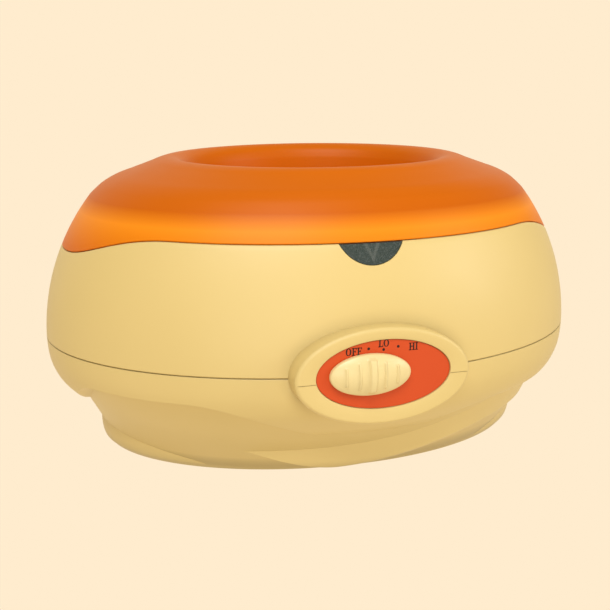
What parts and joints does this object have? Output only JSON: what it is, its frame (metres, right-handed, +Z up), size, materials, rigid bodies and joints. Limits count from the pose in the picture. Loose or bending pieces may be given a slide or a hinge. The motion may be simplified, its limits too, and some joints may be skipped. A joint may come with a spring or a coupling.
{
  "type": "paraffin wax bath",
  "caption": "Oval paraffin wax warmer: plastic case in two halves round a heated tank, lift-off lid with a well, slider temperature control and indicator lens.",
  "frame": {"origin": "centre of the case on the surface that the feet stand on", "axes": "+Z up, -Y front with the slider, X along the length"},
  "size_m": [0.3732, 0.3165, 0.1939],
  "materials": {
    "case_plastic": "cream moulded plastic, fine satin grain",
    "lid_plastic": "translucent orange moulded plastic, satin",
    "plate_plastic": "orange, fine texture",
    "knob_plastic": "cream, semi-gloss",
    "lens_plastic": "smoked, textured",
    "lamp_plastic": "off-white",
    "lamp_glass": "clear neon lamp",
    "grille_plastic": "off-white heat-proof plastic",
    "tank_aluminium": "drawn and anodised",
    "shield_aluminium": "bright sheet",
    "foot_rubber": "matte black rubber",
    "silicone": "grey silicone",
    "glass_wool": "woven glass sleeve",
    "mica": "mica sheet heater",
    "steel": "zinc plated",
    "brass": "plain",
    "black_plastic": "black heat-proof plastic",
    "terminal_plastic": "natural nylon",
    "wire_red": "insulated wire",
    "wire_blue": "insulated wire"
  },
  "bodies": {
    "root": {"lower_housing": "case_plastic", "upper_housing": "case_plastic", "rubber_feet": "foot_rubber", "case_screws": "steel", "tank": "tank_aluminium", "tank_gasket": "silicone", "flange_studs": "steel", "flange_nuts": "steel", "insulation_band": "glass_wool", "heater_plate": "mica", "heater_clamp_plate": "steel", "heater_studs": "steel", "heater_nuts": "steel", "shield_spacers": "steel", "heat_shield": "shield_aluminium", "shield_nuts": "steel", "thermal_fuse": "steel", "fuse_clip": "steel", "control_plate": "plate_plastic", "slide_track": "black_plastic", "track_screws": "steel", "thermostat_bracket": "steel", "bracket_screws": "steel", "thermostat_body": "black_plastic", "indicator_lens": "lens_plastic", "lamp_holder": "lamp_plastic", "power_lamp": "lamp_glass", "ready_lamp": "lamp_glass", "power_inlet": "black_plastic", "inlet_pins": "brass", "inlet_screws": "steel", "terminal_block": "terminal_plastic", "terminal_screws": "brass", "mains_wires": "wire_red", "heater_wires": "wire_red", "control_wires": "wire_blue", "lamp_wires": "wire_blue"},
    "grille": {"hand_guard_grille": "grille_plastic"},
    "lid": {"lid": "lid_plastic"},
    "slider": {"control_knob": "knob_plastic", "slide_carriage": "black_plastic", "knob_screw": "steel"},
    "thermostat_arm": {"thermostat_shaft": "brass", "thermostat_lever": "black_plastic"}
  },
  "joints": [
    {"name": "lid_lift", "type": "slide", "parent": "root", "child": "lid", "axis": [0, 0, 1], "range_m": [0, 0.18]},
    {"name": "heat_control", "type": "slide", "parent": "root", "child": "slider", "axis": [1, 0, 0], "range_m": [0, 0.02]},
    {"name": "thermostat_turn", "type": "hinge", "parent": "root", "child": "thermostat_arm", "pos_m": [0, -0.118, 0.0695], "axis": [0, 0, 1], "range_deg": [0, 53.18]},
    {"name": "grille_lift", "type": "slide", "parent": "root", "child": "grille", "axis": [0, 0, 1], "range_m": [0, 0.08]}
  ],
  "couplings": [
    {"joint": "thermostat_turn", "follows": "heat_control", "rad_per_m": 46.365}
  ]
}
